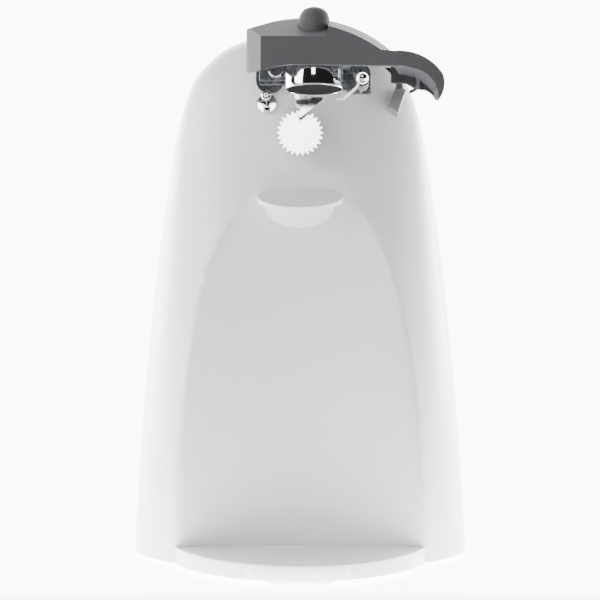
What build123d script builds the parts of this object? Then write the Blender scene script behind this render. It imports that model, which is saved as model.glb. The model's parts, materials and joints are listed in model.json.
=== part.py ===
# Electric can opener: a tall two-part tower housing with an arched can recess, a tilted head that carries the
# drive wheel and a hollow hand lever, a shaded-pole motor and a three-stage gear train inside.
# Frame: +X to the right, +Y to the back, +Z up, origin on the table under the middle of the base.
# The head has its own tilted frame: u to the right, v up along the head's face, w out of the face.
from build123d import *
import os
from math import atan, cos, degrees, pi, radians, sin, sqrt

os.makedirs("parts", exist_ok=True)

# ---------------------------------------------------------------- driving dimensions (mm)
foot_height = 2.5
body_height = 223.5
body_width = 143.6
body_front = 46.5
body_back = 45.0
shell_wall = 2.5
seam_gap = 0.3
platform_radius = 56.5
platform_height = 9.3
recess_reach = 26.0
recess_curve = 281.0
floor_thickness = 2.5
fit_gap = 0.3
run_gap = 0.05
press_gap = 0.02

# shell stations: share of the height, of the width, of the front depth and of the back depth
stations = [
    (0.000, 1.000, 1.000, 1.000),
    (0.260, 0.944, 0.955, 0.978),
    (0.527, 0.859, 0.809, 0.911),
    (0.713, 0.779, 0.594, 0.811),
    (0.823, 0.720, 0.4645, 0.722),
    (0.907, 0.638, 0.366, 0.611),
    (0.948, 0.540, 0.305, 0.500),
    (0.980, 0.411, 0.232, 0.356),
    (1.000, 0.237, 0.140, 0.200),
]
below_head, at_head, above_head = stations[3], stations[4], stations[5]

seam_y = platform_radius - body_back


def station_height(station):
    return foot_height + station[0] * (body_height - foot_height)


def station_slope(index, column):
    """Slope of one column of the stations against the height share, taken from the stations on each side."""
    low = stations[max(index - 1, 0)]
    high = stations[min(index + 1, len(stations) - 1)]
    return (high[column] - low[column]) / (high[0] - low[0])


def blend_stations(index, share):
    """Station on a smooth curve, a share of the way from one listed station to the next."""
    low = stations[index]
    high = stations[index + 1]
    span = high[0] - low[0]
    blended = [low[0] + share * span]
    for column in (1, 2, 3):
        blended.append(
            (1 + 2 * share) * (1 - share) ** 2 * low[column]
            + share * (1 - share) ** 2 * span * station_slope(index, column)
            + share ** 2 * (3 - 2 * share) * high[column]
            + share ** 2 * (share - 1) * span * station_slope(index + 1, column)
        )
    return blended


steps_between = 3
levels = []
for index in range(len(stations) - 1):
    for step in range(steps_between):
        levels.append(blend_stations(index, step / steps_between))
levels.append(stations[-1])


# ---------------------------------------------------------------- head frame
head_lean = degrees(atan(
    (below_head[2] - above_head[2]) * body_front / (station_height(above_head) - station_height(below_head))
))
lean_cos = cos(radians(head_lean))
lean_sin = sin(radians(head_lean))
head = Plane(
    origin=(0, seam_y - at_head[2] * body_front, station_height(at_head)),
    x_dir=(1, 0, 0),
    z_dir=(0, -lean_cos, lean_sin),
)
head_side = Plane(origin=head.origin, x_dir=head.y_dir, z_dir=(1, 0, 0))


def head_up(v):
    """Plane square to the head's v direction: its x is u and its y is minus w."""
    return Plane(origin=head.from_local_coords((0, v, 0)), x_dir=(1, 0, 0), z_dir=head.y_dir)


# wheel and gear train
wheel_radius = 9.8
wheel_teeth = 26
wheel_v = -2.3
wheel_face = 0.8
wheel_back = 5.0
wheel_thickness = 2.4
shaft_radius = 3.0
drive_module = 0.9
drive_teeth = 44
drive_pinion_teeth = 10
second_module = 0.8
second_teeth = 48
second_pinion_teeth = 10
first_module = 0.6
first_teeth = 60
motor_pinion_teeth = 8
axle_radius = 2.0

second_v = wheel_v - drive_module * (drive_teeth + drive_pinion_teeth) / 2
first_v = second_v - second_module * (second_teeth + second_pinion_teeth) / 2
motor_v = first_v - first_module * (first_teeth + motor_pinion_teeth) / 2

# layers along w, from the face inwards: (back, front)
front_plate_w = (-10.0, -8.5)
drive_gear_w = (-15.0, -11.5)
second_pinion_w = (-15.7, -11.0)
second_wheel_w = (-19.5, -16.2)
first_pinion_w = (-19.8, -15.8)
first_wheel_w = (-23.6, -20.6)
motor_pinion_w = (-24.4, -20.0)
rear_plate_w = (-27.0, -25.5)
front_bracket_w = (-31.0, -29.5)
stator_w = (-52.0, -34.0)
rotor_w = (-52.5, -33.5)
rear_bracket_w = (-57.5, -56.0)
fan_w = (-65.0, -60.0)

plate_half_width = 27.0
plate_top_v = 31.0
front_plate_low_v = -37.0
rear_plate_low_v = motor_v - 8.0
spacer_radius = 2.5
spacer_spots = [(23.0, 26.0), (-23.0, 12.0), (23.0, -33.0), (-23.0, -33.0)]

# lever
pivot_u = -10.0
pivot_v = 23.8
lever_shaft_radius = 3.0
lever_back_w = 4.0
lever_front_w = 38.0
lever_wall = 2.2
lever_plate_w = (6.0, 7.8)
blade_lug_w = (7.8, 9.4)
blade_w = (9.4, 11.0)

# magnet and button
magnet_u = 5.8
magnet_w = 23.4
cup_radius = 12.1
cup_wall = 1.0
cup_low_v = 12.2
cup_top_v = 22.0
arm_half_width = 5.0
arm_thickness = 1.2
hinge_u = 25.5
hinge_v = 15.6
hinge_radius = 1.3
button_w = 26.0
button_radius = 6.5
button_top_v = 46.4
button_travel = 3.2

# motor
rotor_radius = 12.5
air_gap = 0.5
motor_shaft_radius = 2.0
stator_half_width = 26.0
stator_top = 17.0
stator_low = -44.0
core_leg = 12.0
coil_half_width = 15.0
bearing_radius = 4.0


# ---------------------------------------------------------------- shared shapes
def shell_section(station, inset):
    """Closed egg-shaped section of the housing, made of a front and a back half ellipse."""
    half_width = station[1] * body_width / 2 - inset
    front_depth = station[2] * body_front - inset
    back_depth = station[3] * body_back - inset
    with BuildSketch(Plane.XY.offset(station_height(station))) as section:
        with BuildLine():
            EllipticalCenterArc((0, seam_y), half_width, front_depth, start_angle=180, arc_size=180)
            EllipticalCenterArc((0, seam_y), half_width, back_depth, start_angle=0, arc_size=180)
        make_face()
    return section.sketch


def head_slab(w_range):
    """Extrude the pending sketch, drawn on head.offset(w_range[0]), up to the front of its layer."""
    extrude(amount=w_range[1] - w_range[0])


def gear_outline(module, teeth, first_tooth_angle):
    """Points of a straight-sided gear tooth outline with running backlash."""
    pitch_radius = module * teeth / 2
    root = pitch_radius - 1.15 * module
    tip = pitch_radius + 0.8 * module
    root_half = 0.58 * pi / teeth
    tip_half = 0.20 * pi / teeth
    points = []
    for tooth in range(teeth):
        middle = radians(first_tooth_angle) + 2 * pi * tooth / teeth
        for radius, angle in (
            (root, middle - root_half),
            (tip, middle - tip_half),
            (tip, middle + tip_half),
            (root, middle + root_half),
        ):
            points.append((radius * cos(angle), radius * sin(angle)))
    return points


def keep(piece, name):
    piece.part.label = name
    export_step(piece.part, "parts/" + name + ".step")


# ================================================================ housing
# construction solids: the outer form, the space in front of the recess panel, and the cavity
with BuildPart() as outer_form:
    loft([shell_section(level, 0) for level in levels], ruled=True)

cavity_top = station_height(levels[-1]) - 1.4 * shell_wall
cavity_levels = [level for level in levels if station_height(level) < cavity_top]
recess_y = seam_y - recess_reach
with BuildPart() as recess_space:
    with BuildSketch(Plane.XY):
        with Locations((0, recess_y - recess_curve)):
            Circle(recess_curve)
        Rectangle(body_width, 4 * body_front, mode=Mode.INTERSECT)
    extrude(amount=station_height(at_head))

with BuildPart() as cavity:
    loft([shell_section(level, shell_wall) for level in cavity_levels], ruled=True)
    with BuildSketch(Plane.XY):
        with Locations((0, recess_y - recess_curve)):
            Circle(recess_curve + shell_wall)
        Rectangle(body_width, 4 * body_front, mode=Mode.INTERSECT)
    extrude(amount=station_height(at_head), mode=Mode.SUBTRACT)
    extrude(shell_section(levels[0], shell_wall), amount=floor_thickness + fit_gap)
    extrude(shell_section(levels[0], shell_wall), amount=-foot_height)

boss_radius = 4.2
boss_pilot = 1.55
screw_radius = 1.5
screw_head_radius = 3.0
screw_head_depth = 14.0
boss_spots = [(-48.0, 28.0), (48.0, 28.0), (-42.0, 148.0), (42.0, 148.0)]
with BuildPart() as boss_posts:
    with BuildSketch(Plane.XZ.offset(-seam_y)):
        with Locations(*boss_spots):
            Circle(boss_radius)
    extrude(amount=body_front, both=True)
    add(outer_form.part, mode=Mode.INTERSECT)
    add(recess_space.part, mode=Mode.SUBTRACT)

bush_radius = 5.5
lever_bush_radius = 5.0
guide_u = -14.0
guide_v = 11.6
guide_pin_radius = 1.6
with BuildPart() as front_housing:
    add(outer_form.part)
    add(recess_space.part, mode=Mode.SUBTRACT)
    add(cavity.part, mode=Mode.SUBTRACT)
    add(boss_posts.part)
    with Locations((0, seam_y - seam_gap / 2, 0)):
        Box(2 * body_width, 4 * body_back, 3 * body_height,
            align=(Align.CENTER, Align.MIN, Align.CENTER), mode=Mode.SUBTRACT)
    with BuildSketch(Plane.XZ.offset(-seam_y)):
        with Locations(*boss_spots):
            Circle(boss_pilot)
    extrude(amount=12, mode=Mode.SUBTRACT)
    with BuildSketch(head.offset(-8)):
        with Locations((0, wheel_v)):
            Circle(bush_radius + press_gap)
        with Locations((pivot_u, pivot_v)):
            Circle(lever_bush_radius + press_gap)
        with Locations((guide_u, guide_v)):
            Circle(guide_pin_radius + press_gap)
    extrude(amount=12, mode=Mode.SUBTRACT)
keep(front_housing, "front_housing")

gland_x = 0.0
gland_z = 22.0
gland_radius = 6.0
gland_bore = 3.6
gland_length = 8.0
gland_back_y = seam_y + body_back - 0.9
vent_length = 20.0
vent_width = 2.0
vent_spacing = 5.0
with BuildPart() as rear_housing:
    add(outer_form.part)
    add(cavity.part, mode=Mode.SUBTRACT)
    add(boss_posts.part)
    with Locations((0, seam_y + seam_gap / 2, 0)):
        Box(2 * body_width, 4 * body_front, 3 * body_height,
            align=(Align.CENTER, Align.MAX, Align.CENTER), mode=Mode.SUBTRACT)
    with BuildSketch(Plane.XZ.offset(-seam_y)):
        with Locations(*boss_spots):
            Circle(boss_pilot + 0.15)
    extrude(amount=-body_back, mode=Mode.SUBTRACT)
    with BuildSketch(Plane.XZ.offset(-seam_y - screw_head_depth)):
        with Locations(*boss_spots):
            Circle(screw_head_radius + 0.4)
    extrude(amount=-body_back, mode=Mode.SUBTRACT)
    with BuildSketch(Plane.XZ.offset(-seam_y - body_back / 2)):
        with Locations((0, 96.0)):
            with GridLocations(vent_spacing, 0, 9, 1):
                SlotOverall(vent_length, vent_width, rotation=90)
        with Locations((0, 62.0)):
            with GridLocations(vent_spacing, 0, 9, 1):
                SlotOverall(vent_length, vent_width, rotation=90)
    extrude(amount=-body_back, mode=Mode.SUBTRACT)
    with BuildSketch(Plane.XZ.offset(-seam_y - body_back / 2)):
        with Locations((gland_x, gland_z)):
            Circle(gland_radius + press_gap)
    extrude(amount=-body_back, mode=Mode.SUBTRACT)
keep(rear_housing, "rear_housing")

screw_length = 22.0
with BuildPart() as housing_screws:
    with BuildSketch(Plane.XZ.offset(-seam_y - screw_head_depth)):
        with Locations(*boss_spots):
            Circle(screw_head_radius)
    extrude(amount=-2.4)
    with BuildSketch(Plane.XZ.offset(-seam_y - screw_head_depth)):
        with Locations(*boss_spots):
            Circle(screw_radius)
    extrude(amount=screw_length)
    with BuildSketch(Plane.XZ.offset(-seam_y - screw_head_depth - 2.4)):
        with Locations(*boss_spots):
            Rectangle(4.0, 0.9)
            Rectangle(0.9, 4.0)
    extrude(amount=1.2, mode=Mode.SUBTRACT)
keep(housing_screws, "housing_screws")

with BuildPart() as cord_grommet:
    with BuildSketch(Plane.XZ.offset(-gland_back_y)):
        with Locations((gland_x, gland_z)):
            Circle(gland_radius)
    extrude(amount=gland_length)
    with BuildSketch(Plane.XZ.offset(-gland_back_y + gland_length)):
        with Locations((gland_x, gland_z)):
            Circle(gland_radius + 2.0)
    extrude(amount=-3.4)
    with BuildSketch(Plane.XZ.offset(-gland_back_y)):
        with Locations((gland_x, gland_z)):
            Circle(gland_bore)
    extrude(amount=gland_length, mode=Mode.SUBTRACT)
keep(cord_grommet, "cord_grommet")

# base: a platform in front of the recess panel, and a floor that passes under it into the shell
foot_pad_width = 26.0
foot_pad_depth = 9.0
foot_spots = [(-46.0, 0.0), (46.0, 0.0), (-38.0, 34.0), (38.0, 34.0)]
rubber_foot_radius = 7.0
base_screw_spots = [(-30.0, 0.0), (30.0, 0.0), (0.0, 42.0)]
with BuildPart() as base_plate:
    with BuildSketch(Plane.XY.offset(foot_height)):
        Circle(platform_radius)
        with Locations((0, recess_y - recess_curve)):
            Circle(recess_curve - fit_gap, mode=Mode.INTERSECT)
    extrude(amount=platform_height - foot_height)
    fillet(base_plate.faces().sort_by(Axis.Z)[-1].edges(), radius=0.9)
    extrude(shell_section(levels[0], shell_wall + fit_gap), amount=floor_thickness)
    with Locations((0, foot_pad_depth - platform_radius, 0)):
        Box(foot_pad_width, foot_pad_depth, foot_height, align=(Align.CENTER, Align.CENTER, Align.MIN))
    chamfer(base_plate.faces().sort_by(Axis.Z)[0].edges(), length=1.0)
    with Locations(*[(x, y, 0) for x, y in base_screw_spots]):
        Cylinder(screw_radius + 0.2, 3 * floor_thickness, align=(Align.CENTER, Align.CENTER, Align.MIN),
                 mode=Mode.SUBTRACT)
keep(base_plate, "base_plate")

with BuildPart() as rubber_feet:
    with BuildSketch(Plane.XY):
        with Locations(*foot_spots):
            Circle(rubber_foot_radius)
    extrude(amount=foot_height)
keep(rubber_feet, "rubber_feet")

with BuildPart() as base_screws:
    with BuildSketch(Plane.XY.offset(foot_height)):
        with Locations(*base_screw_spots):
            Circle(screw_head_radius)
    extrude(amount=-1.6)
    with BuildSketch(Plane.XY.offset(foot_height)):
        with Locations(*base_screw_spots):
            Circle(screw_radius)
    extrude(amount=8)
keep(base_screws, "base_screws")

# oval rest for the can's side, at the top of the arch
rest_half_width = 17.7
rest_half_length = 7.4
rest_slope = 32.6
rest_height = 157.5
rest_rim = 2.2
rest_front_reach = 11.0
rest_plane = Plane(
    origin=(0, recess_y - rest_front_reach + rest_half_length * cos(radians(rest_slope)), rest_height),
    x_dir=(1, 0, 0),
    z_dir=(0, -sin(radians(rest_slope)), cos(radians(rest_slope))),
)
with BuildPart() as can_rest:
    with BuildSketch(rest_plane):
        Ellipse(rest_half_width, rest_half_length)
    extrude(amount=-rest_rim)
    with BuildSketch(rest_plane.offset(-rest_rim)):
        Ellipse(rest_half_width - 2.5, rest_half_length - 1.6)
    extrude(amount=-13, taper=12)
    with BuildSketch(Plane.XY.offset(rest_height - 40)):
        with Locations((0, recess_y - recess_curve)):
            Circle(recess_curve - 0.1)
    extrude(amount=80, mode=Mode.INTERSECT)
keep(can_rest, "can_rest")

# ================================================================ chassis
with BuildPart() as front_gear_plate:
    with BuildSketch(head.offset(front_plate_w[0])):
        with Locations((0, (plate_top_v + front_plate_low_v) / 2)):
            RectangleRounded(2 * plate_half_width, plate_top_v - front_plate_low_v, 4)
        with Locations((0, wheel_v)):
            Circle(bush_radius + press_gap, mode=Mode.SUBTRACT)
        with Locations((pivot_u, pivot_v)):
            Circle(lever_bush_radius + press_gap, mode=Mode.SUBTRACT)
        with Locations((0, second_v)):
            Circle(axle_radius + press_gap, mode=Mode.SUBTRACT)
    head_slab(front_plate_w)
keep(front_gear_plate, "front_gear_plate")

motor_screw_u = 21.5
with BuildPart() as rear_gear_plate:
    with BuildSketch(head.offset(rear_plate_w[0])):
        with Locations((0, (plate_top_v + rear_plate_low_v) / 2)):
            RectangleRounded(2 * plate_half_width, plate_top_v - rear_plate_low_v, 4)
        with Locations((0, wheel_v)):
            Circle(shaft_radius + run_gap, mode=Mode.SUBTRACT)
        with Locations((0, second_v), (0, first_v)):
            Circle(axle_radius + press_gap, mode=Mode.SUBTRACT)
        with Locations((0, motor_v)):
            Circle(motor_shaft_radius + 0.5, mode=Mode.SUBTRACT)
        with Locations((motor_screw_u, motor_v), (-motor_screw_u, motor_v)):
            Circle(screw_radius + press_gap, mode=Mode.SUBTRACT)
        with Locations(*spacer_spots):
            Circle(screw_radius + press_gap, mode=Mode.SUBTRACT)
    head_slab(rear_plate_w)
keep(rear_gear_plate, "rear_gear_plate")

with BuildPart() as plate_spacers:
    with BuildSketch(head.offset(rear_plate_w[1])):
        with Locations(*spacer_spots):
            Circle(spacer_radius)
            Circle(screw_radius + press_gap, mode=Mode.SUBTRACT)
    head_slab((rear_plate_w[1], front_plate_w[0]))
keep(plate_spacers, "plate_spacers")

with BuildPart() as plate_screws:
    with BuildSketch(head.offset(rear_plate_w[0])):
        with Locations(*spacer_spots):
            Circle(screw_radius)
    extrude(amount=10)
    with BuildSketch(head.offset(rear_plate_w[0])):
        with Locations(*spacer_spots):
            RegularPolygon(screw_head_radius, 6)
    extrude(amount=-2)
keep(plate_screws, "plate_screws")

with BuildPart() as wheel_bush:
    with BuildSketch(head.offset(front_plate_w[0])):
        with Locations((0, wheel_v)):
            Circle(bush_radius)
    head_slab((front_plate_w[0], 0.8))
    with BuildSketch(head.offset(0.3)):
        with Locations((0, wheel_v)):
            Circle(bush_radius + 1.5)
    extrude(amount=0.8)
    with BuildSketch(head.offset(front_plate_w[0])):
        with Locations((0, wheel_v)):
            Circle(shaft_radius + run_gap)
    extrude(amount=20, mode=Mode.SUBTRACT)
keep(wheel_bush, "wheel_bush")

with BuildPart() as lever_bush:
    with BuildSketch(head.offset(front_plate_w[0])):
        with Locations((pivot_u, pivot_v)):
            Circle(lever_bush_radius)
            Circle(lever_shaft_radius + run_gap, mode=Mode.SUBTRACT)
    head_slab((front_plate_w[0], 1.0))
keep(lever_bush, "lever_bush")

for axle_name, axle_v, axle_front in (
    ("second_axle", second_v, front_plate_w[1]),
    ("first_axle", first_v, first_pinion_w[1] + 1.4),
):
    with BuildPart() as axle:
        with BuildSketch(head.offset(rear_plate_w[0])):
            with Locations((0, axle_v)):
                Circle(axle_radius)
        head_slab((rear_plate_w[0], axle_front))
        if axle_name == "first_axle":
            with BuildSketch(head.offset(first_pinion_w[1] + 0.3)):
                with Locations((0, axle_v)):
                    Circle(axle_radius + 0.9)
            extrude(amount=1.1)
    keep(axle, axle_name)

# chrome plate beside the wheel, with the lever bush passing through it
head_plate_w = (1.2, 2.6)
head_plate_left = -18.4
head_plate_right = -6.4
head_plate_low = 15.5
head_plate_top = 33.0
with BuildPart() as head_plate:
    with BuildSketch(head.offset(head_plate_w[0])):
        with Locations(((head_plate_left + head_plate_right) / 2, (head_plate_low + head_plate_top) / 2)):
            RectangleRounded(head_plate_right - head_plate_left, head_plate_top - head_plate_low, 5.2)
        with Locations((pivot_u, pivot_v)):
            Circle(lever_shaft_radius + 0.1, mode=Mode.SUBTRACT)
        with Locations((pivot_u - 4.5, head_plate_top - 4.0)):
            Circle(screw_radius + press_gap, mode=Mode.SUBTRACT)
    head_slab(head_plate_w)
keep(head_plate, "head_plate")

with BuildPart() as head_plate_screw:
    with BuildSketch(head.offset(head_plate_w[1])):
        with Locations((pivot_u - 4.5, head_plate_top - 4.0)):
            Circle(2.4)
    extrude(amount=1.0)
    with BuildSketch(head.offset(head_plate_w[1])):
        with Locations((pivot_u - 4.5, head_plate_top - 4.0)):
            Circle(screw_radius)
    extrude(amount=-1.4)
keep(head_plate_screw, "head_plate_screw")

# can guides: a headed pin on a round flange at the left, a slanted block at the right
guide_head_radius = 2.1
guide_flange_radius = 4.2
guide_front_w = 17.5
guide_seat_w = 0.1
guide_tail_w = -5.0
with BuildPart() as guide_pin:
    with BuildSketch(head.offset(guide_seat_w)):
        with Locations((guide_u, guide_v)):
            Circle(guide_flange_radius)
    extrude(amount=1.0)
    with BuildSketch(head.offset(guide_tail_w)):
        with Locations((guide_u, guide_v)):
            Circle(guide_pin_radius)
    head_slab((guide_tail_w, guide_front_w))
    with BuildSketch(head.offset(guide_front_w - 3.0)):
        with Locations((guide_u, guide_v)):
            Circle(guide_head_radius)
    extrude(amount=3.0)
    chamfer(guide_pin.faces().sort_by(Axis.Y)[0].edges(), length=0.6)
keep(guide_pin, "guide_pin")

with BuildPart() as can_guide:
    with BuildSketch(head.offset(-11.0)):
        Polygon((37.2, 9.8), (40.9, 7.4), (44.3, 17.0), (40.2, 18.8))
    head_slab((-11.0, 2.4))
    add(outer_form.part, mode=Mode.SUBTRACT)
keep(can_guide, "can_guide")

with BuildPart() as guide_strap:
    with BuildSketch(head.offset(2.4)):
        with BuildLine():
            ThreePointArc((40.4, 17.0), (39.0, 21.8), (35.0, 26.4))
            Line((35.0, 26.4), (39.2, 26.4))
            ThreePointArc((39.2, 26.4), (42.2, 21.8), (43.2, 16.4))
            Line((43.2, 16.4), (40.4, 17.0))
        make_face()
    extrude(amount=1.0)
keep(guide_strap, "guide_strap")

# ================================================================ wheel, shafts and gears
tooth_depth = 1.5
spigot_radius = shaft_radius - 0.6
with BuildPart() as drive_wheel:
    with BuildSketch(head.offset(wheel_back)):
        with Locations((0, wheel_v)):
            Circle(wheel_radius - tooth_depth)
            with PolarLocations(wheel_radius - tooth_depth, wheel_teeth):
                Polygon((-0.4, -1.1), (tooth_depth, -0.12), (tooth_depth, 0.12), (-0.4, 1.1))
    head_slab((wheel_back, wheel_back + wheel_thickness))
    with BuildSketch(head.offset(wheel_back)):
        with Locations((0, wheel_v)):
            Circle(spigot_radius + press_gap)
    extrude(amount=wheel_thickness - wheel_face, mode=Mode.SUBTRACT)
keep(drive_wheel, "drive_wheel")

with BuildPart() as wheel_spacer:
    with BuildSketch(head.offset(1.2)):
        with Locations((0, wheel_v)):
            Circle(5.0)
            Circle(shaft_radius + press_gap, mode=Mode.SUBTRACT)
    head_slab((1.2, wheel_back))
keep(wheel_spacer, "wheel_spacer")

with BuildPart() as drive_shaft:
    with BuildSketch(head.offset(rear_plate_w[0] - 1)):
        with Locations((0, wheel_v)):
            Circle(shaft_radius)
    head_slab((rear_plate_w[0] - 1, wheel_back))
    with BuildSketch(head.offset(wheel_back)):
        with Locations((0, wheel_v)):
            Circle(spigot_radius)
    extrude(amount=wheel_thickness - wheel_face - press_gap)
keep(drive_shaft, "drive_shaft")

with BuildPart() as drive_gear:
    with BuildSketch(head.offset(drive_gear_w[0])):
        with Locations((0, wheel_v)):
            Polygon(*gear_outline(drive_module, drive_teeth, -90))
            Circle(shaft_radius + press_gap, mode=Mode.SUBTRACT)
            with PolarLocations(11.5, 5):
                Circle(3.2, mode=Mode.SUBTRACT)
    head_slab(drive_gear_w)
keep(drive_gear, "drive_gear")

half_tooth = 180.0
for gear_name, gear_v, wheel_data, pinion_data in (
    ("second_gear", second_v, (second_module, second_teeth, second_wheel_w),
     (drive_module, drive_pinion_teeth, second_pinion_w)),
    ("first_gear", first_v, (first_module, first_teeth, first_wheel_w),
     (second_module, second_pinion_teeth, first_pinion_w)),
):
    with BuildPart() as compound_gear:
        with BuildSketch(head.offset(wheel_data[2][0])):
            with Locations((0, gear_v)):
                Polygon(*gear_outline(wheel_data[0], wheel_data[1], -90))
        head_slab(wheel_data[2])
        with BuildSketch(head.offset(wheel_data[2][0])):
            with Locations((0, gear_v)):
                Polygon(*gear_outline(pinion_data[0], pinion_data[1], 90 + half_tooth / pinion_data[1]))
        head_slab((wheel_data[2][0], pinion_data[2][1]))
        with BuildSketch(head.offset(wheel_data[2][0])):
            with Locations((0, gear_v)):
                Circle(axle_radius + run_gap)
        extrude(amount=20, mode=Mode.SUBTRACT)
    keep(compound_gear, gear_name)

with BuildPart() as motor_pinion:
    with BuildSketch(head.offset(motor_pinion_w[0])):
        with Locations((0, motor_v)):
            Polygon(*gear_outline(first_module, motor_pinion_teeth, 90 + half_tooth / motor_pinion_teeth))
            Circle(motor_shaft_radius - 0.9 + press_gap, mode=Mode.SUBTRACT)
    head_slab(motor_pinion_w)
keep(motor_pinion, "motor_pinion")

# ================================================================ motor
with BuildPart() as rotor_shaft:
    with BuildSketch(head.offset(fan_w[0] - 1)):
        with Locations((0, motor_v)):
            Circle(motor_shaft_radius)
    head_slab((fan_w[0] - 1, motor_pinion_w[0]))
    with BuildSketch(head.offset(motor_pinion_w[0])):
        with Locations((0, motor_v)):
            Circle(motor_shaft_radius - 0.9)
    head_slab(motor_pinion_w)
keep(rotor_shaft, "rotor_shaft")

with BuildPart() as rotor_core:
    with BuildSketch(head.offset(rotor_w[0])):
        with Locations((0, motor_v)):
            Circle(rotor_radius)
            Circle(motor_shaft_radius + press_gap, mode=Mode.SUBTRACT)
    head_slab(rotor_w)
keep(rotor_core, "rotor_core")

fan_radius = 16.0
with BuildPart() as cooling_fan:
    with BuildSketch(head.offset(fan_w[0])):
        with Locations((0, motor_v)):
            Circle(5.0)
    head_slab(fan_w)
    with BuildSketch(head.offset(fan_w[0])):
        with Locations((0, motor_v)):
            Circle(fan_radius)
    extrude(amount=1.2)
    with BuildSketch(head.offset(fan_w[0])):
        with Locations((0, motor_v)):
            with PolarLocations((fan_radius + 4) / 2, 7):
                Rectangle(fan_radius - 5, 1.4, rotation=25)
    head_slab(fan_w)
    with BuildSketch(head.offset(fan_w[0])):
        with Locations((0, motor_v)):
            Circle(motor_shaft_radius + press_gap)
    extrude(amount=10, mode=Mode.SUBTRACT)
keep(cooling_fan, "cooling_fan")

with BuildPart() as stator_core:
    with BuildSketch(head.offset(stator_w[0])):
        with Locations((0, motor_v + (stator_top + stator_low) / 2)):
            RectangleRounded(2 * stator_half_width, stator_top - stator_low, 3)
        with Locations((0, motor_v)):
            Circle(rotor_radius + air_gap, mode=Mode.SUBTRACT)
        with Locations((0, motor_v + (stator_low + core_leg - stator_top) / 2)):
            Rectangle(2 * coil_half_width + 2, -stator_low - core_leg - stator_top, mode=Mode.SUBTRACT)
        with Locations((motor_screw_u, motor_v), (-motor_screw_u, motor_v)):
            Circle(screw_radius + 0.2, mode=Mode.SUBTRACT)
    head_slab(stator_w)
keep(stator_core, "stator_core")

ring_wall = 1.4
with BuildPart() as shading_rings:
    for side in (-1, 1):
        with BuildSketch(head.offset(stator_w[1] + 0.1)):
            with Locations((side * 13.5, motor_v + side * 11.5)):
                RectangleRounded(8.5, 5.0, 1.2)
                RectangleRounded(8.5 - 2 * ring_wall, 5.0 - 2 * ring_wall, 0.4, mode=Mode.SUBTRACT)
        extrude(amount=1.6)
keep(shading_rings, "shading_rings")

leg_v = motor_v + stator_low + core_leg / 2
leg_half = core_leg / 2
stator_mid_w = (stator_w[0] + stator_w[1]) / 2
stator_half_thick = (stator_w[1] - stator_w[0]) / 2


def coil_frame(half_u, inner_gap, thickness):
    """Rectangular tube around the stator's lower leg, centred on the leg, running along u."""
    with BuildSketch(Plane(origin=head.from_local_coords((-half_u, leg_v, stator_mid_w)),
                           x_dir=head.y_dir, z_dir=(1, 0, 0))) as tube:
        Rectangle(core_leg + 2 * (inner_gap + thickness),
                  2 * (stator_half_thick + inner_gap + thickness))
        Rectangle(core_leg + 2 * inner_gap, 2 * (stator_half_thick + inner_gap), mode=Mode.SUBTRACT)
    extrude(tube.sketch, amount=2 * half_u)


bobbin_gap = 0.2
bobbin_wall = 1.0
coil_thickness = 3.2
with BuildPart() as coil_bobbin:
    coil_frame(coil_half_width, bobbin_gap, bobbin_wall)
    for flange_u in (-coil_half_width, coil_half_width - bobbin_wall):
        with BuildSketch(Plane(origin=head.from_local_coords((flange_u, leg_v, stator_mid_w)),
                               x_dir=head.y_dir, z_dir=(1, 0, 0))):
            Rectangle(core_leg + 2 * (bobbin_wall + coil_thickness + 0.5),
                      2 * (stator_half_thick + bobbin_wall + coil_thickness + 0.5))
            Rectangle(core_leg + 2 * bobbin_gap, 2 * (stator_half_thick + bobbin_gap), mode=Mode.SUBTRACT)
        extrude(amount=bobbin_wall)
keep(coil_bobbin, "coil_bobbin")

with BuildPart() as coil_winding:
    coil_frame(coil_half_width - bobbin_wall - 0.1, bobbin_gap + bobbin_wall + 0.05, coil_thickness - 0.4)
keep(coil_winding, "coil_winding")

for bracket_name, bracket_w in (("front_motor_bracket", front_bracket_w), ("rear_motor_bracket", rear_bracket_w)):
    with BuildPart() as bracket:
        with BuildSketch(head.offset(bracket_w[0])):
            with Locations((0, motor_v)):
                RectangleRounded(2 * plate_half_width, 14, 3)
                Circle(bearing_radius + press_gap, mode=Mode.SUBTRACT)
            with Locations((motor_screw_u, motor_v), (-motor_screw_u, motor_v)):
                Circle(screw_radius + 0.2, mode=Mode.SUBTRACT)
        head_slab(bracket_w)
    keep(bracket, bracket_name)

with BuildPart() as motor_bearings:
    for bracket_w in (front_bracket_w, rear_bracket_w):
        with BuildSketch(head.offset(bracket_w[0] - 0.3)):
            with Locations((0, motor_v)):
                Circle(bearing_radius)
                Circle(motor_shaft_radius + run_gap, mode=Mode.SUBTRACT)
        extrude(amount=2.1)
keep(motor_bearings, "motor_bearings")

with BuildPart() as motor_spacers:
    for gap_w in ((front_bracket_w[1], rear_plate_w[0]), (stator_w[1], front_bracket_w[0]),
                  (rear_bracket_w[1], stator_w[0])):
        with BuildSketch(head.offset(gap_w[0])):
            with Locations((motor_screw_u, motor_v), (-motor_screw_u, motor_v)):
                Circle(3.2)
                Circle(screw_radius + 0.2, mode=Mode.SUBTRACT)
        head_slab(gap_w)
keep(motor_spacers, "motor_spacers")

with BuildPart() as motor_screws:
    with BuildSketch(head.offset(rear_bracket_w[0])):
        with Locations((motor_screw_u, motor_v), (-motor_screw_u, motor_v)):
            Circle(screw_radius)
    head_slab((rear_bracket_w[0], rear_plate_w[1] + 1))
    with BuildSketch(head.offset(rear_bracket_w[0])):
        with Locations((motor_screw_u, motor_v), (-motor_screw_u, motor_v)):
            RegularPolygon(screw_head_radius, 6)
    extrude(amount=-2.2)
keep(motor_screws, "motor_screws")

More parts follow.
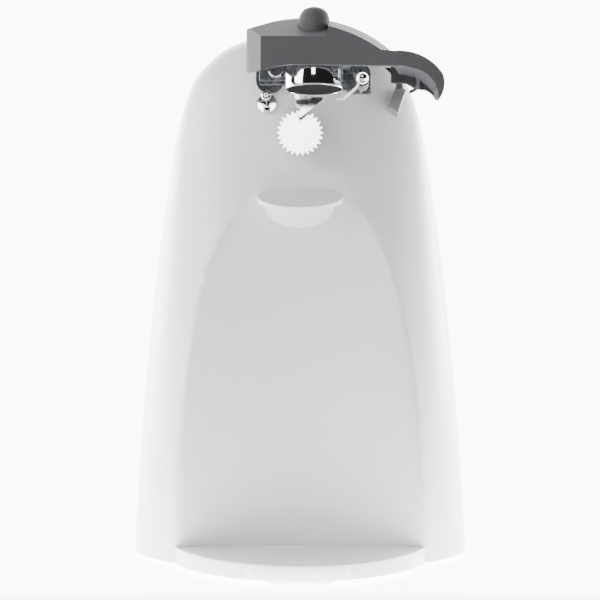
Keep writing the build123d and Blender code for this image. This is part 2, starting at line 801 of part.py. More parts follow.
# ================================================================ switch
switch_u = -19.0
switch_low_v = 27.0
switch_half_width = 5.5
switch_height = 7.0
switch_w = (-25.4, -17.0)
plunger_radius = 1.4
plunger_out = 1.0
plunger_mid_w = -18.9
with BuildPart() as switch_body:
    with BuildSketch(head.offset(switch_w[0])):
        with Locations((switch_u, switch_low_v + switch_height / 2)):
            Rectangle(2 * switch_half_width, switch_height)
    head_slab(switch_w)
    with BuildSketch(head_up(switch_low_v)):
        with Locations((switch_u, -plunger_mid_w)):
            Circle(plunger_radius + run_gap)
    extrude(amount=4.2, mode=Mode.SUBTRACT)
keep(switch_body, "switch_body")

with BuildPart() as switch_plunger:
    with BuildSketch(head_up(switch_low_v - plunger_out)):
        with Locations((switch_u, -plunger_mid_w)):
            Circle(plunger_radius)
    extrude(amount=4.6)
keep(switch_plunger, "switch_plunger")

# ================================================================ lever
with BuildPart() as lever_shaft:
    with BuildSketch(head.offset(-20.4)):
        with Locations((pivot_u, pivot_v)):
            Circle(lever_shaft_radius)
    head_slab((-20.4, 9.6))
    with BuildSketch(head.offset(9.6)):
        with Locations((pivot_u, pivot_v)):
            Circle(lever_shaft_radius + 0.4)
    extrude(amount=1.4)
    chamfer(lever_shaft.faces().sort_by(Axis.Y)[0].edges(), length=0.6)
keep(lever_shaft, "lever_shaft")

with BuildPart() as shaft_clip:
    with BuildSketch(head.offset(-11.4)):
        with Locations((pivot_u, pivot_v)):
            Circle(lever_shaft_radius + 1.6)
            Circle(lever_shaft_radius + press_gap, mode=Mode.SUBTRACT)
    extrude(amount=1.0)
keep(shaft_clip, "shaft_clip")

cam_w = (-20.2, -17.6)
cam_reach = pivot_u - switch_u
with BuildPart() as switch_cam:
    with BuildSketch(head.offset(cam_w[0])):
        with Locations((pivot_u, pivot_v)):
            Circle(4.6)
        with Locations((pivot_u - cam_reach / 2, pivot_v - 0.2)):
            Rectangle(cam_reach, 2.2)
        with Locations((pivot_u - cam_reach, pivot_v - 0.2)):
            Circle(1.1)
        with Locations((pivot_u, pivot_v)):
            Circle(lever_shaft_radius + press_gap, mode=Mode.SUBTRACT)
    head_slab(cam_w)
keep(switch_cam, "switch_cam")

lever_left = -22.0
lever_low = 19.9
handle_end = 58.6
facet_low_v = 31.6
facet_rise = 8.5
facet_run = 14.1
facet_end_u = 11.4
side_facet_width = 6.0
side_facet_depth = 12.0

# outlines of the lever at its back and front faces: the top arc and the drop to the handle, the curl of
# the handle's end, and the lower edge from right to left
back_outline = {
    "w": lever_back_w,
    "top": [(lever_left, 42.1), (0.0, 47.3), (37.7, 33.6), (42.6, 25.3)],
    "curl": [(51.6, 22.3), (57.9, 16.6), (57.6, 14.4), (56.3, 12.2)],
    "low": [(54.6, 14.9), (49.0, 16.2), (44.4, 19.0), (-4.0, 22.0), (-13.0, 23.4), (lever_left, 26.0)],
}
front_outline = {
    "w": lever_front_w,
    "top": [(lever_left, 34.5), (-3.0, 37.6), (32.8, 25.9), (38.5, 25.5)],
    "curl": [(50.6, 22.9), (57.9, 16.0), (58.4, 10.6), (55.9, 5.0)],
    "low": [(54.6, 12.0), (47.0, 18.0), (41.8, 19.3), (-4.0, lever_low), (-13.2, 18.2), (lever_left, 15.2)],
}


def lever_section(outline):
    """Closed section of the lever at one of its faces."""
    top, curl, low = outline["top"], outline["curl"], outline["low"]
    with BuildSketch(head.offset(outline["w"])) as section:
        with BuildLine():
            Line(low[5], top[0])
            ThreePointArc(top[0], top[1], top[2])
            Line(top[2], top[3])
            ThreePointArc(top[3], curl[0], curl[1])
            ThreePointArc(curl[1], curl[2], curl[3])
            ThreePointArc(curl[3], low[0], low[1])
            Line(low[1], low[2])
            Line(low[2], low[3])
            ThreePointArc(low[3], low[4], low[5])
        make_face()
    return section.sketch


hollow_split_u = 38.0
rear_skirt = 2.0


def hollow_section(outline, w, u_range):
    """Section of the space under the lever's top, one wall inside the outline and open below."""
    top, curl = outline["top"], outline["curl"]
    sink = 1.2 * lever_wall
    with BuildSketch(head.offset(w)) as section:
        with BuildLine():
            Line((lever_left + lever_wall, -5), (lever_left + lever_wall, top[0][1] - lever_wall))
            ThreePointArc((lever_left + lever_wall, top[0][1] - lever_wall), (top[1][0], top[1][1] - sink),
                          (top[2][0] - sink, top[2][1] - sink))
            Line((top[2][0] - sink, top[2][1] - sink), (top[3][0] - sink / 2, top[3][1] - sink))
            ThreePointArc((top[3][0] - sink / 2, top[3][1] - sink), (curl[0][0] - sink / 2, curl[0][1] - sink),
                          (curl[1][0] - lever_wall, curl[1][1] - lever_wall))
            Line((curl[1][0] - lever_wall, curl[1][1] - lever_wall), (curl[1][0] - lever_wall, -5))
            Line((curl[1][0] - lever_wall, -5), (lever_left + lever_wall, -5))
        make_face()
        with Locations(((u_range[0] + u_range[1]) / 2, 25)):
            Rectangle(u_range[1] - u_range[0], 120, mode=Mode.INTERSECT)
    return section.sketch


def lever_corner_cuts(depth):
    """Cut the sloped facet behind the button and the left front facet, moved inwards by depth."""
    slope = sqrt(facet_rise ** 2 + facet_run ** 2)
    start_v = facet_low_v - depth * facet_run / slope
    start_w = lever_front_w - depth * facet_rise / slope
    with BuildSketch(head_side.offset(lever_left - 5)) as top_cut:
        Polygon((start_v - facet_rise, start_w + facet_run),
                (start_v + 4 * facet_rise, start_w + facet_run),
                (start_v + 4 * facet_rise, start_w - 4 * facet_run))
    extrude(top_cut.sketch, amount=facet_end_u - lever_left + 5 + depth, mode=Mode.SUBTRACT)
    side_slope = sqrt(side_facet_width ** 2 + side_facet_depth ** 2)
    side_u = lever_left + side_facet_width + depth * side_facet_depth / side_slope
    side_w = lever_front_w - depth * side_facet_width / side_slope
    with BuildSketch(head_up(-10)) as side_cut:
        Polygon((side_u + side_facet_width, -side_w - side_facet_depth),
                (side_u - 3 * side_facet_width, -side_w + 3 * side_facet_depth),
                (side_u - 3 * side_facet_width, -side_w - side_facet_depth))
    extrude(side_cut.sketch, amount=80, mode=Mode.SUBTRACT)


left_range = (lever_left, hollow_split_u)
right_range = (hollow_split_u - 1, handle_end)
with BuildPart() as lever_hollow:
    loft([hollow_section(back_outline, lever_back_w - 1, left_range),
          hollow_section(front_outline, lever_front_w - lever_wall, left_range)], ruled=True)
    loft([hollow_section(back_outline, lever_back_w + rear_skirt, right_range),
          hollow_section(front_outline, lever_front_w - lever_wall, right_range)], ruled=True)
    lever_corner_cuts(lever_wall)

lever_screw_spots = [(-14.3, 28.2), (20.0, 27.0)]
lever_post_radius = 2.6
button_hole_gap = 0.4
with BuildPart() as lever_shell:
    loft([lever_section(back_outline), lever_section(front_outline)], ruled=True)
    lever_corner_cuts(0)
    add(lever_hollow.part, mode=Mode.SUBTRACT)
    with BuildSketch(head.offset(lever_plate_w[1])):
        with Locations(*lever_screw_spots):
            Circle(lever_post_radius)
    head_slab((lever_plate_w[1], lever_front_w - lever_wall + 0.1))
    with BuildSketch(head.offset(lever_plate_w[1])):
        with Locations(*lever_screw_spots):
            Circle(screw_radius - 0.3 + run_gap)
    extrude(amount=9, mode=Mode.SUBTRACT)
    with BuildSketch(head_up(facet_low_v - 5)):
        with Locations((magnet_u, -button_w)):
            Circle(button_radius + button_hole_gap)
    extrude(amount=30, mode=Mode.SUBTRACT)
keep(lever_shell, "lever_shell")

lever_plate_low = 15.5
with BuildPart() as lever_plate:
    with BuildSketch(head.offset(lever_plate_w[0])):
        Polygon((-17.0, 20.0), (-5.5, 20.0), (-3.5, lever_plate_low), (19.0, lever_plate_low), (21.5, 14.0),
                (29.5, 14.0), (29.5, 24.0), (24.5, 31.0), (-17.0, 33.0))
        with Locations((pivot_u, pivot_v)):
            Circle(lever_shaft_radius + press_gap, mode=Mode.SUBTRACT)
        with Locations((hinge_u, hinge_v)):
            Circle(hinge_radius + press_gap, mode=Mode.SUBTRACT)
        with Locations(*lever_screw_spots):
            Circle(screw_radius - 0.2, mode=Mode.SUBTRACT)
    head_slab(lever_plate_w)
keep(lever_plate, "lever_plate")

with BuildPart() as lever_screws:
    with BuildSketch(head.offset(lever_plate_w[0])):
        with Locations(*lever_screw_spots):
            Circle(screw_radius - 0.3)
    extrude(amount=9)
    with BuildSketch(head.offset(lever_plate_w[0])):
        with Locations(*lever_screw_spots):
            Circle(2.6)
    extrude(amount=-1.5)
keep(lever_screws, "lever_screws")

rivet_spot = (2.6, 9.6)
rivet_radius = 0.8
with BuildPart() as blade_lug:
    with BuildSketch(head.offset(blade_lug_w[0])):
        Polygon((-3.0, 16.6), (-1.4, 8.0), (1.8, 6.8), (4.8, 10.4), (6.8, 16.6))
        with Locations(rivet_spot):
            Circle(rivet_radius + press_gap, mode=Mode.SUBTRACT)
    head_slab(blade_lug_w)
keep(blade_lug, "blade_lug")

with BuildPart() as cutting_blade:
    with BuildSketch(head.offset(blade_w[0])):
        Polygon((0.0, 3.2), (-1.1, 5.5), (6.2, 13.6), (9.6, 13.6), (9.6, 10.9))
        with Locations(rivet_spot):
            Circle(rivet_radius + press_gap, mode=Mode.SUBTRACT)
    head_slab(blade_w)
keep(cutting_blade, "cutting_blade")

with BuildPart() as blade_rivet:
    with BuildSketch(head.offset(blade_lug_w[0])):
        with Locations(rivet_spot):
            Circle(rivet_radius)
    head_slab((blade_lug_w[0], blade_w[1]))
keep(blade_rivet, "blade_rivet")

opener_spot = (45.0, 18.6)
with BuildPart() as bottle_opener:
    with BuildSketch(head.offset(lever_back_w + rear_skirt + 2)):
        with Locations(opener_spot):
            Circle(4.8)
            Circle(3.4, mode=Mode.SUBTRACT)
        with Locations((opener_spot[0] + 6.4, opener_spot[1])):
            Rectangle(12, 16, mode=Mode.INTERSECT)
    extrude(amount=2.0)
    with BuildSketch(head.offset(lever_back_w + rear_skirt)):
        with Locations((opener_spot[0] + 4.1, opener_spot[1] - 1)):
            Rectangle(1.4, 4)
    extrude(amount=3.0)
    add(lever_shell.part, mode=Mode.SUBTRACT)
keep(bottle_opener, "bottle_opener")

with BuildPart() as magnet_pin:
    with BuildSketch(head.offset(lever_plate_w[0])):
        with Locations((hinge_u, hinge_v)):
            Circle(hinge_radius)
    head_slab((lever_plate_w[0], lever_front_w - 4.0))
    with BuildSketch(head.offset(lever_front_w - 6.0)):
        with Locations((hinge_u, hinge_v)):
            Circle(1.7)
    extrude(amount=2.6)
    chamfer(magnet_pin.faces().sort_by(Axis.Y)[0].edges(), length=0.6)
keep(magnet_pin, "magnet_pin")

spring_wire = 0.55
with BuildPart() as magnet_spring:
    with BuildSketch(head.offset(29.4)):
        with Locations((hinge_u, hinge_v)):
            Circle(2.4)
            Circle(hinge_radius + 0.1, mode=Mode.SUBTRACT)
    extrude(amount=2.2)
    with BuildLine(head.offset(30.4)):
        wire_path = FilletPolyline((hinge_u - 1.6, hinge_v - 1.0), (22.6, 11.8), (17.4, 7.2), (14.8, 7.6), radius=0.9)
    with BuildSketch(Plane(origin=wire_path @ 0, z_dir=wire_path % 0)):
        Circle(spring_wire)
    sweep()
keep(magnet_spring, "magnet_spring")

# ================================================================ magnet and its arm
with BuildPart() as magnet_arm:
    with BuildSketch(head.offset(magnet_w - arm_half_width)):
        Polygon((-3.0, cup_top_v), (20.2, cup_top_v), (23.6, 16.6), (25.2, 18.2),
                (21.0, cup_top_v + arm_thickness), (-3.0, cup_top_v + arm_thickness))
        with Locations((hinge_u, hinge_v)):
            Circle(hinge_radius + 1.4)
            Circle(hinge_radius + run_gap, mode=Mode.SUBTRACT)
    extrude(amount=2 * arm_half_width)
keep(magnet_arm, "magnet_arm")

with BuildPart() as magnet_cup:
    with BuildSketch(head_up(cup_low_v)):
        with Locations((magnet_u, -magnet_w)):
            Circle(cup_radius)
    extrude(amount=cup_top_v - cup_low_v)
    fillet(magnet_cup.faces().sort_by(Axis.Z)[-1].edges(), radius=1.2)
    with BuildSketch(head_up(cup_low_v)):
        with Locations((magnet_u, -magnet_w)):
            Circle(cup_radius - cup_wall)
    extrude(amount=cup_top_v - cup_low_v - 1.6, mode=Mode.SUBTRACT)
keep(magnet_cup, "magnet_cup")

with BuildPart() as magnet:
    with BuildSketch(head_up(cup_low_v + 0.3)):
        with Locations((magnet_u, -magnet_w)):
            Circle(cup_radius - cup_wall - press_gap)
    extrude(amount=cup_top_v - cup_low_v - 1.6 - 0.3)
keep(magnet, "magnet")

# ================================================================ release button
button_low_v = 30.0
stem_low_v = cup_top_v + arm_thickness + 0.5
with BuildPart() as release_button:
    with BuildSketch(head_up(button_low_v)):
        with Locations((magnet_u, -button_w)):
            Circle(button_radius)
    extrude(amount=button_top_v - button_low_v)
    fillet(release_button.faces().sort_by(Axis.Z)[-1].edges(), radius=0.6 * button_radius)
    with BuildSketch(head_up(button_low_v - 1.0)):
        with Locations((magnet_u, -button_w)):
            Circle(button_radius + 0.7)
    extrude(amount=1.2)
    with BuildSketch(head_up(stem_low_v)):
        with Locations((magnet_u, -button_w)):
            Circle(2.2)
    extrude(amount=button_low_v - stem_low_v)
keep(release_button, "release_button")

spring_low_v = stem_low_v + 0.6
spring_radius = 3.4
with BuildPart() as button_spring:
    with BuildLine(head_up(spring_low_v).move(Location((0, 0, 0)))):
        coil = Helix(pitch=1.25, height=button_low_v - 2.0 - spring_low_v, radius=spring_radius,
                     center=(magnet_u, -button_w, 0), direction=(0, 0, 1))
    with BuildSketch(Plane(origin=coil @ 0, z_dir=coil % 0)):
        Circle(0.4)
    sweep(is_frenet=True)
keep(button_spring, "button_spring")
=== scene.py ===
# Looks of the electric can opener: moulded white tower, dark grey lever, chrome and ground steel at the head.
import json
import math
import bpy
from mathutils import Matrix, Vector


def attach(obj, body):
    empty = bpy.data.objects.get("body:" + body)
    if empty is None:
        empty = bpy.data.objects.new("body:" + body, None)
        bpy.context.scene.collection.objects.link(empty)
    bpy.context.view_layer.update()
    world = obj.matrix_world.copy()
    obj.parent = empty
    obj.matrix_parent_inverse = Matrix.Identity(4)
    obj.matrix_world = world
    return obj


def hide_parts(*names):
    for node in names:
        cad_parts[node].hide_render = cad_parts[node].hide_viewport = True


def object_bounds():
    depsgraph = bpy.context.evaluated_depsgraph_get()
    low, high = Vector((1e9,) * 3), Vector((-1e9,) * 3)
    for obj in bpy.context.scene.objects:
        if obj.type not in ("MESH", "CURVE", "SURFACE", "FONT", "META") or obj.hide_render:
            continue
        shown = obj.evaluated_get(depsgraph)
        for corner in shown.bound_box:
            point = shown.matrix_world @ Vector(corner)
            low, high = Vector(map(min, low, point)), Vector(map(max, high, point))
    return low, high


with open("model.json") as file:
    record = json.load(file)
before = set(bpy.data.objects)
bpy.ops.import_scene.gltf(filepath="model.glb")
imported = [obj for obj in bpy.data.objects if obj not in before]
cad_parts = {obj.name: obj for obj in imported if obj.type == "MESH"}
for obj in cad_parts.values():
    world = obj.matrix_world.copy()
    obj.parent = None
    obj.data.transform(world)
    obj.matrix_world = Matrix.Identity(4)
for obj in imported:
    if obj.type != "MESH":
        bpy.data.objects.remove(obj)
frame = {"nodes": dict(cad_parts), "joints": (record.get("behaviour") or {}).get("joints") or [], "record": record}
cad_low, cad_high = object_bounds()
nodes = frame["nodes"]
MM = 0.001

# ---------------------------------------- the head's own frame, taken from the wheel's joint
joints = {joint["name"]: joint for joint in frame["joints"]}
OUT = Vector(joints["wheel_spin"]["axis"]).normalized()
RIGHT = Vector((1, 0, 0))
UP = OUT.cross(RIGHT)
# the head's own origin lies this many millimetres above the wheel's axis
WHEEL_DROP = 2.3
HEAD = Vector(joints["wheel_spin"]["pos_m"]) + UP * WHEEL_DROP * MM


def head_point(u, v, w):
    """Point of the tilted head frame: u to the right, v up along the face, w out of it, in millimetres."""
    return HEAD + (RIGHT * u + UP * v + OUT * w) * MM


def body_of_node(name):
    """The moving body, or the housing, that this CAD node belongs to."""
    for body, members in frame["record"]["behaviour"]["bodies"].items():
        if name in members:
            return body


# ---------------------------------------- materials
def linear(text):
    """sRGB hex to linear colour."""
    channels = []
    for start in (0, 2, 4):
        value = int(text[start:start + 2], 16) / 255
        channels.append(value / 12.92 if value <= 0.04045 else ((value + 0.055) / 1.055) ** 2.4)
    return (*channels, 1.0)


def add_node(tree, kind, settings, links):
    """Add one node, set its inputs or properties, and link its inputs from (node, output) pairs."""
    node = tree.nodes.new(kind)
    for key, value in settings.items():
        if key in node.inputs:
            node.inputs[key].default_value = value
        else:
            setattr(node, key, value)
    for key, (source, output) in links.items():
        tree.links.new(source.outputs[output], node.inputs[key])
    return node


def new_material(name):
    """An empty material with its shader and a node for the piece's own coordinates."""
    material = bpy.data.materials.new(name)
    material.use_nodes = True
    tree = material.node_tree
    shader = tree.nodes["Principled BSDF"]
    place = add_node(tree, "ShaderNodeTexCoord", {}, {})
    return material, tree, shader, place


def per_metre(millimetres):
    """Texture scale for a pattern of this size."""
    return 1.0 / (millimetres * MM)


def set_finish(tree, shader, colour, gloss, bump):
    """Take the shader's colour, roughness and normal from these nodes."""
    tree.links.new(colour.outputs["Color"], shader.inputs["Base Color"])
    tree.links.new(gloss.outputs["Result"], shader.inputs["Roughness"])
    tree.links.new(bump.outputs["Normal"], shader.inputs["Normal"])


# refractive index of ABS and its like, and roughness of a thin clear skin on it
PLASTIC_IOR = 1.53
SKIN_ROUGHNESS = 0.06
# size of the cloudiness in moulded plastic
CLOUD_MM = 60
# most of a noise pattern lies between the first two values, and its middle between the other two
NOISE_LOW, NOISE_HIGH = 0.3, 0.7
MIDDLE_LOW, MIDDLE_HIGH = 0.35, 0.65


def moulded_plastic(name, dark, light, roughness, grain_mm, bump_mm, gloss_level=0.5, coat=0.0):
    """Injection-moulded plastic: even colour, faint cloudiness, and a fine skin texture from the mould."""
    material, tree, shader, place = new_material(name)
    cloud = add_node(tree, "ShaderNodeTexNoise", {"Scale": per_metre(CLOUD_MM), "Detail": 2.0},
                     {"Vector": (place, "Object")})
    ramp = add_node(tree, "ShaderNodeValToRGB", {}, {"Fac": (cloud, "Fac")})
    ramp.color_ramp.elements[0].color = linear(dark)
    ramp.color_ramp.elements[0].position = MIDDLE_LOW
    ramp.color_ramp.elements[1].color = linear(light)
    ramp.color_ramp.elements[1].position = MIDDLE_HIGH
    skin = add_node(tree, "ShaderNodeTexNoise", {"Scale": per_metre(grain_mm), "Detail": 3.0},
                    {"Vector": (place, "Object")})
    bump = add_node(tree, "ShaderNodeBump", {"Strength": 0.25, "Distance": bump_mm * MM},
                    {"Height": (skin, "Fac")})
    gloss = add_node(tree, "ShaderNodeMapRange",
                     {"From Min": NOISE_LOW, "From Max": NOISE_HIGH,
                      "To Min": roughness * 0.9, "To Max": roughness * 1.12},
                     {"Value": (cloud, "Fac")})
    set_finish(tree, shader, ramp, gloss, bump)
    shader.inputs["IOR"].default_value = PLASTIC_IOR
    shader.inputs["Specular IOR Level"].default_value = gloss_level
    shader.inputs["Coat Weight"].default_value = coat
    shader.inputs["Coat Roughness"].default_value = SKIN_ROUGHNESS
    return material


def metal(name, dark, light, roughness, grain_mm, stretch, bump_mm):
    """Bare metal: colour from the alloy, with a fine pattern that stretch draws out along one way."""
    material, tree, shader, place = new_material(name)
    turn = add_node(tree, "ShaderNodeMapping", {"Scale": stretch}, {"Vector": (place, "Object")})
    lines = add_node(tree, "ShaderNodeTexNoise", {"Scale": per_metre(grain_mm), "Detail": 4.0},
                     {"Vector": (turn, "Vector")})
    ramp = add_node(tree, "ShaderNodeValToRGB", {}, {"Fac": (lines, "Fac")})
    ramp.color_ramp.elements[0].color = linear(dark)
    ramp.color_ramp.elements[0].position = NOISE_LOW
    ramp.color_ramp.elements[1].color = linear(light)
    ramp.color_ramp.elements[1].position = NOISE_HIGH
    gloss = add_node(tree, "ShaderNodeMapRange",
                     {"From Min": NOISE_LOW, "From Max": NOISE_HIGH,
                      "To Min": roughness * 0.75, "To Max": roughness * 1.3},
                     {"Value": (lines, "Fac")})
    bump = add_node(tree, "ShaderNodeBump", {"Strength": 0.2, "Distance": bump_mm * MM},
                    {"Height": (lines, "Fac")})
    set_finish(tree, shader, ramp, gloss, bump)
    shader.inputs["Metallic"].default_value = 1.0
    return material


even = (1.0, 1.0, 1.0)
materials = {
    # white ABS from a smooth mould: a soft sheen under a trace of clear skin
    "white_abs": moulded_plastic("smooth_white_ABS", "E9E9E8", "ECECEB", 0.34, 1.2, 0.002, coat=0.05),
    # dark grey ABS from a fine-grained mould: nearly matt, with faint broad highlights
    "grey_abs": moulded_plastic("fine_grained_dark_grey_ABS", "4E4F51", "555658", 0.6, 0.5, 0.010, 0.04),
    # synthetic rubber: almost black, matt
    "rubber": moulded_plastic("matt_black_rubber", "17171A", "1F1F21", 0.75, 0.4, 0.03),
    # chrome plate: nearly white mirror with a trace of waviness
    "chrome": metal("polished_chrome_plate", "D6D7DA", "EDEDEF", 0.06, 8.0, even, 0.002),
    # zinc-plated sheet steel: grey, slightly blue, soft
    "steel": metal("zinc_plated_sheet_steel", "8E9296", "B2B5B8", 0.3, 1.6, even, 0.01),
    # hardened steel with a fine even grind: bright and plain, a slightly blurred mirror
    "tool_steel": metal("ground_hardened_steel", "E2E2E4", "F2F2F3", 0.16, 0.35, even, 0.001),
    # bright zinc plate on screws: a little whiter and sharper than the sheet
    "zinc_screws": metal("bright_zinc_screw_steel", "A4A7AA", "C8CACC", 0.24, 1.2, even, 0.006),
    # grey acetal: slippery plastic, waxy sheen
    "guide_grey": moulded_plastic("waxy_grey_acetal", "77787A", "858688", 0.35, 0.8, 0.006),
    # pressed ferrite magnet: near black with a fine ceramic grain
    "ferrite": moulded_plastic("pressed_black_ferrite", "0C0C0D", "131314", 0.8, 0.35, 0.02, 0.08),
    # unfilled nylon: warm off-white
    "gear_nylon": moulded_plastic("natural_nylon", "DAD6C8", "E6E3D8", 0.4, 0.8, 0.008),
    # sintered bronze: warm, porous, dull
    "brass": metal("sintered_bronze", "A07A3C", "C79F5A", 0.35, 0.5, even, 0.02),
    # stacked electrical sheet: dark edges in layers across the stack
    "laminations": metal("stacked_electrical_sheet", "2B2D31", "5C5F64", 0.45, 0.5, (0.05, 1.0, 0.25), 0.03),
    # enamelled copper wire, wound in turns
    "copper": metal("enamelled_copper_wire", "8A3E1B", "C46A35", 0.28, 0.5, (1.0, 0.05, 0.05), 0.05),
    # glass-filled nylon: black, slightly rough
    "bobbin": moulded_plastic("black_glass_nylon", "1B1B1D", "242426", 0.5, 0.5, 0.02),
}
slot_of = {row["node"]: row["material_slot"] for row in frame["record"]["subparts"]}
for name, node in nodes.items():
    node.data.materials.clear()
    node.data.materials.append(materials[slot_of[name]])


# ---------------------------------------- shaping helpers
def only(piece):
    """Make this object the only selected one, and active."""
    bpy.ops.object.select_all(action="DESELECT")
    piece.select_set(True)
    bpy.context.view_layer.objects.active = piece


def settle(piece, name, node, replaced):
    """Name the piece, give it the node's finish and body, and put it in place of the CAD nodes."""
    only(piece)
    bpy.ops.object.transform_apply(location=True, rotation=True, scale=True)
    piece.name = name
    piece.data.name = name
    piece.data.materials.clear()
    piece.data.materials.append(materials[slot_of[node]])
    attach(piece, body_of_node(node))
    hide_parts(*replaced)
    return piece


# corners closer than this are one corner, and faces that meet under FLAT_DEGREES are one face
COPY_MERGE_MM = 0.002
TURNED_MERGE_MM = 0.003
FLAT_DEGREES = 0.8
# a turned piece keeps its corners sharp above this angle
TURNED_CORNER = 32
# how far a large face outweighs a small one in the shading
NORMAL_WEIGHT = 80


def merged_copy(node, smooth_angle, edge_mm=0.0, segments=3):
    """Copy of a CAD node with merged corners, a small edge radius if one is given, and smooth shading."""
    only(nodes[node])
    bpy.ops.object.duplicate()
    piece = bpy.context.view_layer.objects.active
    # the copy keeps nothing of what the loader wrote on the node
    piece.parent = None
    for key in list(piece.keys()):
        del piece[key]
    bpy.ops.object.mode_set(mode="EDIT")
    bpy.ops.mesh.select_all(action="SELECT")
    bpy.ops.mesh.remove_doubles(threshold=COPY_MERGE_MM * MM)
    if edge_mm:
        bpy.ops.mesh.dissolve_limited(angle_limit=math.radians(FLAT_DEGREES), delimit={"NORMAL"})
    bpy.ops.object.mode_set(mode="OBJECT")
    if edge_mm:
        bevel = piece.modifiers.new("edge", "BEVEL")
        bevel.width = edge_mm * MM
        bevel.segments = segments
        bevel.limit_method = "ANGLE"
        bevel.angle_limit = math.radians(smooth_angle)
        bevel.harden_normals = False
        bpy.ops.object.modifier_apply(modifier="edge")
    bpy.ops.object.shade_smooth_by_angle(angle=math.radians(smooth_angle))
    # large faces keep their own normals, so that flat panels and long blends stay even
    even_normals = piece.modifiers.new("even_normals", "WEIGHTED_NORMAL")
    even_normals.keep_sharp = True
    even_normals.weight = NORMAL_WEIGHT
    bpy.ops.object.modifier_apply(modifier="even_normals")
    return settle(piece, node + "_finished", node, [node])


def turned(name, node, replaced, centre, axis, profile, steps=64):
    """Lathe a profile of (radius, height) millimetre points about an axis, as a closed solid."""
    axis = axis.normalized()
    across = axis.cross(Vector((0, 0, 1)) if abs(axis.z) < 0.9 else Vector((1, 0, 0))).normalized()
    bpy.ops.object.select_all(action="DESELECT")
    bpy.ops.mesh.primitive_plane_add(size=1 * MM, location=(0, 0, 0))
    piece = bpy.context.object
    bpy.ops.object.mode_set(mode="EDIT")
    bpy.ops.mesh.select_all(action="SELECT")
    bpy.ops.mesh.merge(type="CENTER")
    start = centre + (across * profile[0][0] + axis * profile[0][1]) * MM
    bpy.ops.transform.translate(value=start)
    for before, after in zip(profile, profile[1:]):
        step = (across * (after[0] - before[0]) + axis * (after[1] - before[1])) * MM
        bpy.ops.mesh.extrude_region_move(TRANSFORM_OT_translate={"value": step})
    bpy.ops.mesh.select_all(action="SELECT")
    bpy.ops.mesh.spin(steps=steps, angle=math.tau, center=centre, axis=axis)
    bpy.ops.mesh.select_all(action="SELECT")
    bpy.ops.mesh.remove_doubles(threshold=TURNED_MERGE_MM * MM)
    bpy.ops.mesh.normals_make_consistent(inside=False)
    bpy.ops.object.mode_set(mode="OBJECT")
    bpy.ops.object.shade_smooth_by_angle(angle=math.radians(TURNED_CORNER))
    return settle(piece, name, node, replaced)


# ---------------------------------------- housing, base and lever
# corners sharper than these angles stay corners, on moulded shells and on smaller parts
SHELL_CORNER, PART_CORNER = 30, 25
for shell in ("front_housing", "rear_housing", "base_plate"):
    merged_copy(shell, SHELL_CORNER)
# edge radii in millimetres
for shell, edge in {"can_rest": 0.6, "lever_shell": 0.45}.items():
    merged_copy(shell, SHELL_CORNER, edge)
for part, edge in {"can_guide": 0.6, "guide_strap": 0.15}.items():
    merged_copy(part, PART_CORNER, edge)
# the wheel's many teeth have a coarser edge
merged_copy("drive_wheel", PART_CORNER, 0.12, segments=2)
for part, edge in {"cutting_blade": 0.2, "blade_lug": 0.2, "head_plate": 0.3, "lever_plate": 0.2,
                   "bottle_opener": 0.15, "rubber_feet": 0.5, "cord_grommet": 0.4}.items():
    merged_copy(part, PART_CORNER, edge)

# ---------------------------------------- turned pieces at the head
# the magnet and the button share one upright line on the lever; profiles are (radius, height) in millimetres
MAGNET_U = 5.8
magnet_place = head_point(MAGNET_U, 0, 23.4)
button_place = head_point(MAGNET_U, 0, 26.0)
guide_pin_place = head_point(-14, 11.6, 0)
hinge_place = head_point(25.5, 15.6, 0)

# drawn steel cup with a rolled rim; the magnet fills its mouth
turned("magnet_cup_drawn", "magnet_cup", ["magnet_cup"], magnet_place, UP,
       [(0, 22), (9.6, 22), (10.9, 21.8), (11.7, 21.2), (12.05, 20.2), (12.1, 19.0), (12.1, 12.9),
        (11.95, 12.45), (11.6, 12.25), (11.25, 12.45), (11.1, 12.9), (11.1, 20.4), (0, 20.4)])
# pressed disc with a broken edge and a shallow dish in its face
turned("magnet_disc", "magnet", ["magnet"], magnet_place, UP,
       [(0, 12.75), (7.5, 12.62), (10.4, 12.55), (10.8, 12.75), (11.0, 13.2), (11.05, 20.3), (0, 20.3)])
# domed push button with a retaining flange and its stem
turned("domed_button", "release_button", ["release_button"], button_place, UP,
       [(0, 46.4), (2.2, 46.2), (4.0, 45.5), (5.4, 44.2), (6.2, 42.4), (6.5, 40.2), (6.5, 30.2), (7.2, 30.0),
        (7.2, 29.0), (2.2, 29.0), (2.2, 23.75), (0, 23.75)])
# guide pin: flange on the housing, waisted shank and rounded head
turned("headed_guide_pin", "guide_pin", ["guide_pin"], guide_pin_place, OUT,
       [(0, -5), (1.6, -5), (1.6, 0.1), (4.0, 0.1), (4.2, 0.3), (4.2, 0.8), (3.9, 1.1), (2.0, 1.15),
        (1.6, 1.5), (1.6, 13.6), (2.0, 14.2), (2.1, 14.8), (2.1, 16.6), (1.8, 17.2), (1.2, 17.5), (0.7, 17.5),
        (0.5, 17.0), (0, 16.9)])
# magnet hinge pin with a small rounded head
turned("headed_magnet_pin", "magnet_pin", ["magnet_pin"], hinge_place, OUT,
       [(0, 6), (1.3, 6), (1.3, 32.0), (1.7, 32.2), (1.7, 33.7), (1.4, 34.3), (0.8, 34.6), (0, 34.6)])

# ---------------------------------------- studio
def area_light(name, place, target, size, power):
    """A rectangular light at a place, turned to a target; size in metres, power in watts."""
    lamp = bpy.data.lights.new(name, "AREA")
    lamp.shape = "RECTANGLE"
    lamp.size, lamp.size_y = size
    lamp.energy = power
    holder = bpy.data.objects.new(name, lamp)
    bpy.context.scene.collection.objects.link(holder)
    holder.location = place
    holder.rotation_euler = (Vector(target) - Vector(place)).to_track_quat("-Z", "Y").to_euler()


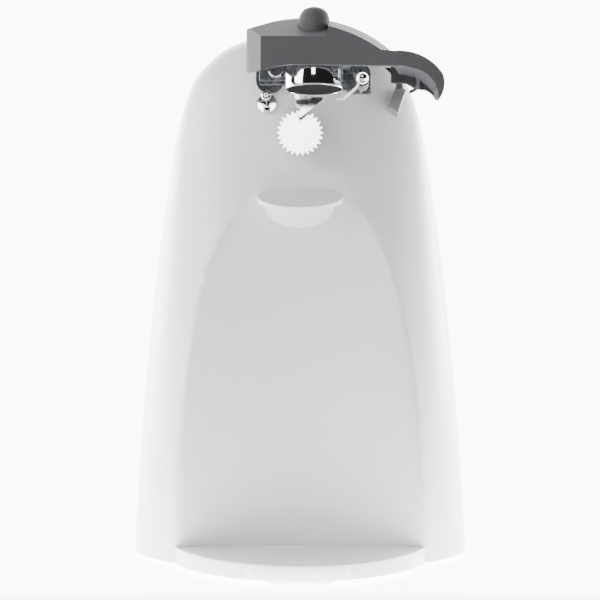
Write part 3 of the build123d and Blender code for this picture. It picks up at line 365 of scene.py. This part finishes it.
middle = Vector((0.0, 0.0, 0.11))
low_body = Vector((0.0, 0.0, 0.05))
platform_top = Vector((0.0, 0.0, 0.04))
upper_body = Vector((0.0, 0.0, 0.15))
head_middle = Vector((0.0, 0.0, 0.19))
# two from behind, for the white edges
area_light("left_edge_softbox", (-0.75, 0.42, 0.10), low_body, (0.5, 0.4), 15)
area_light("right_edge_softbox", (0.75, 0.42, 0.10), low_body, (0.5, 0.4), 17)
# the one that the chrome cup mirrors
area_light("key_softbox", (-0.85, -0.43, 0.49), upper_body, (0.6, 0.5), 10)
# the one that the wheel's face mirrors towards the camera
area_light("wheel_softbox", (-0.08, -1.36, 0.84), head_middle, (0.34, 0.26), 2.6)
area_light("low_front_strip", (-0.10, -0.35, 0.01), platform_top, (0.2, 0.05), 0.3)
area_light("top_softbox", (-0.30, -0.45, 0.95), middle, (0.35, 0.35), 2)

# soft white room: bright behind, fading to almost dark in front, so that faces turned to the front stay grey
world = bpy.data.worlds.new("studio")
bpy.context.scene.world = world
world.use_nodes = True
room = world.node_tree
background = room.nodes["Background"]
direction = add_node(room, "ShaderNodeTexCoord", {}, {})
facing = add_node(room, "ShaderNodeSeparateXYZ", {}, {"Vector": (direction, "Generated")})
BEHIND, IN_FRONT = 11.0, 0.02
DARK_UNTIL, BRIGHT_FROM = 0.15, 0.85
strength = add_node(room, "ShaderNodeMapRange",
                    {"From Min": DARK_UNTIL, "From Max": BRIGHT_FROM, "To Min": IN_FRONT, "To Max": BEHIND},
                    {"Value": (facing, "Y")})
room.links.new(strength.outputs["Result"], background.inputs["Strength"])
background.inputs["Color"].default_value = linear("FFFFFF")

# wide enough for its edge to meet the room's horizon
FLOOR_SIZE = 60.0
bpy.ops.object.select_all(action="DESELECT")
bpy.ops.mesh.primitive_plane_add(size=FLOOR_SIZE, location=(0, 0, cad_low.z))
floor = bpy.context.object
floor.name = "pale_floor"
floor_material, floor_tree, floor_shader, floor_place = new_material("pale_floor_paint")
floor_shader.inputs["Base Color"].default_value = linear("B4B4B4")
floor_shader.inputs["Roughness"].default_value = 0.8
# lit from below like a light table that ends in front of the object, so that the floor is white round it
FLOOR_GLOW = 8.6
GLOW_STARTS, GLOW_FULL = -0.10, -0.065
floor_shader.inputs["Emission Color"].default_value = linear("FFFFFF")
floor_axes = add_node(floor_tree, "ShaderNodeSeparateXYZ", {}, {"Vector": (floor_place, "Object")})
floor_glow = add_node(floor_tree, "ShaderNodeMapRange",
                      {"From Min": GLOW_STARTS, "From Max": GLOW_FULL, "To Min": 0.0, "To Max": FLOOR_GLOW},
                      {"Value": (floor_axes, "Y")})
floor_tree.links.new(floor_glow.outputs["Result"], floor_shader.inputs["Emission Strength"])
floor.data.materials.append(floor_material)

# ---------------------------------------- camera
body_plane_y = 11.5 * MM
camera_distance = 1.100
camera_height = 0.235
frame_width = 0.258
aim_height = 0.1107
camera_data = bpy.data.cameras.new("camera")
camera_data.sensor_width = 36.0
camera_data.clip_start = 0.01
camera = bpy.data.objects.new("camera", camera_data)
bpy.context.scene.collection.objects.link(camera)
camera.location = (0.0, body_plane_y - camera_distance, camera_height)
aim = Vector((0.0, body_plane_y, aim_height))
camera.rotation_euler = (aim - camera.location).to_track_quat("-Z", "Y").to_euler()
camera_data.lens = camera_data.sensor_width * (aim - camera.location).length / frame_width
bpy.context.scene.camera = camera
